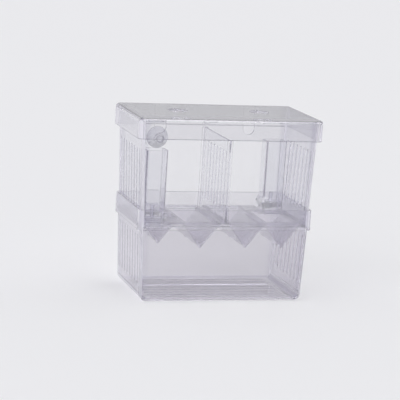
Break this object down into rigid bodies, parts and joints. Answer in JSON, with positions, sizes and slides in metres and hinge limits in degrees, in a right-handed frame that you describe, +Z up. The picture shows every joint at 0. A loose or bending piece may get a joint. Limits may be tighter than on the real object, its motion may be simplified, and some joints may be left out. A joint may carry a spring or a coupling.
{
  "type": "fish breeding box",
  "caption": "Clear two-storey fish breeding box: slotted tanks, lid, divider, V-trough trays, corner air ducts with airline nozzles and a suction cup behind.",
  "frame": {"origin": "middle of the flat rest face under the lower tank, midway between its side walls and between its front and back walls", "axes": "+X along the long side to the right seen from the front, +Y from front to back, +Z up"},
  "size_m": [0.2, 0.1133, 0.195],
  "materials": {
    "tank_plastic": "clear moulded plastic, polished",
    "lid_plastic": "clear moulded plastic, polished",
    "divider_plastic": "clear moulded plastic, polished",
    "tray_plastic": "clear moulded plastic, polished",
    "duct_plastic": "clear moulded plastic, polished",
    "nozzle_plastic": "clear moulded plastic",
    "soft_cup": "soft clear vinyl"
  },
  "bodies": {
    "lower_tank": {"lower_tank": "tank_plastic"},
    "upper_tank": {"upper_tank": "tank_plastic"},
    "lid": {"lid": "lid_plastic"},
    "divider": {"divider": "divider_plastic"},
    "left_tray": {"left_trough_tray": "tray_plastic"},
    "right_tray": {"right_trough_tray": "tray_plastic"},
    "left_duct": {"left_air_duct": "duct_plastic", "left_air_nozzle": "nozzle_plastic"},
    "right_duct": {"right_air_duct": "duct_plastic", "right_air_nozzle": "nozzle_plastic"},
    "suction_cup": {"suction_cup": "soft_cup"}
  },
  "joints": [
    {"name": "upper_tank_lift", "type": "slide", "parent": "lower_tank", "child": "upper_tank", "axis": [0, 0, 1], "range_m": [0, 0.06]},
    {"name": "lid_lift", "type": "slide", "parent": "upper_tank", "child": "lid", "axis": [0, 0, 1], "range_m": [0, 0.06]},
    {"name": "divider_lift", "type": "slide", "parent": "upper_tank", "child": "divider", "axis": [0, 0, 1], "range_m": [0, 0.018]},
    {"name": "left_tray_lift", "type": "slide", "parent": "upper_tank", "child": "left_tray", "axis": [0, 0, 1], "range_m": [0, 0.06]},
    {"name": "right_tray_lift", "type": "slide", "parent": "upper_tank", "child": "right_tray", "axis": [0, 0, 1], "range_m": [0, 0.06]},
    {"name": "left_duct_lift", "type": "slide", "parent": "upper_tank", "child": "left_duct", "axis": [0, 0, 1], "range_m": [0, 0.03]},
    {"name": "right_duct_lift", "type": "slide", "parent": "upper_tank", "child": "right_duct", "axis": [0, 0, 1], "range_m": [0, 0.03]},
    {"name": "cup_turn", "type": "hinge", "parent": "upper_tank", "child": "suction_cup", "pos_m": [-0.05, 0.05, 0.157], "axis": [0, 1, 0], "continuous": true}
  ]
}
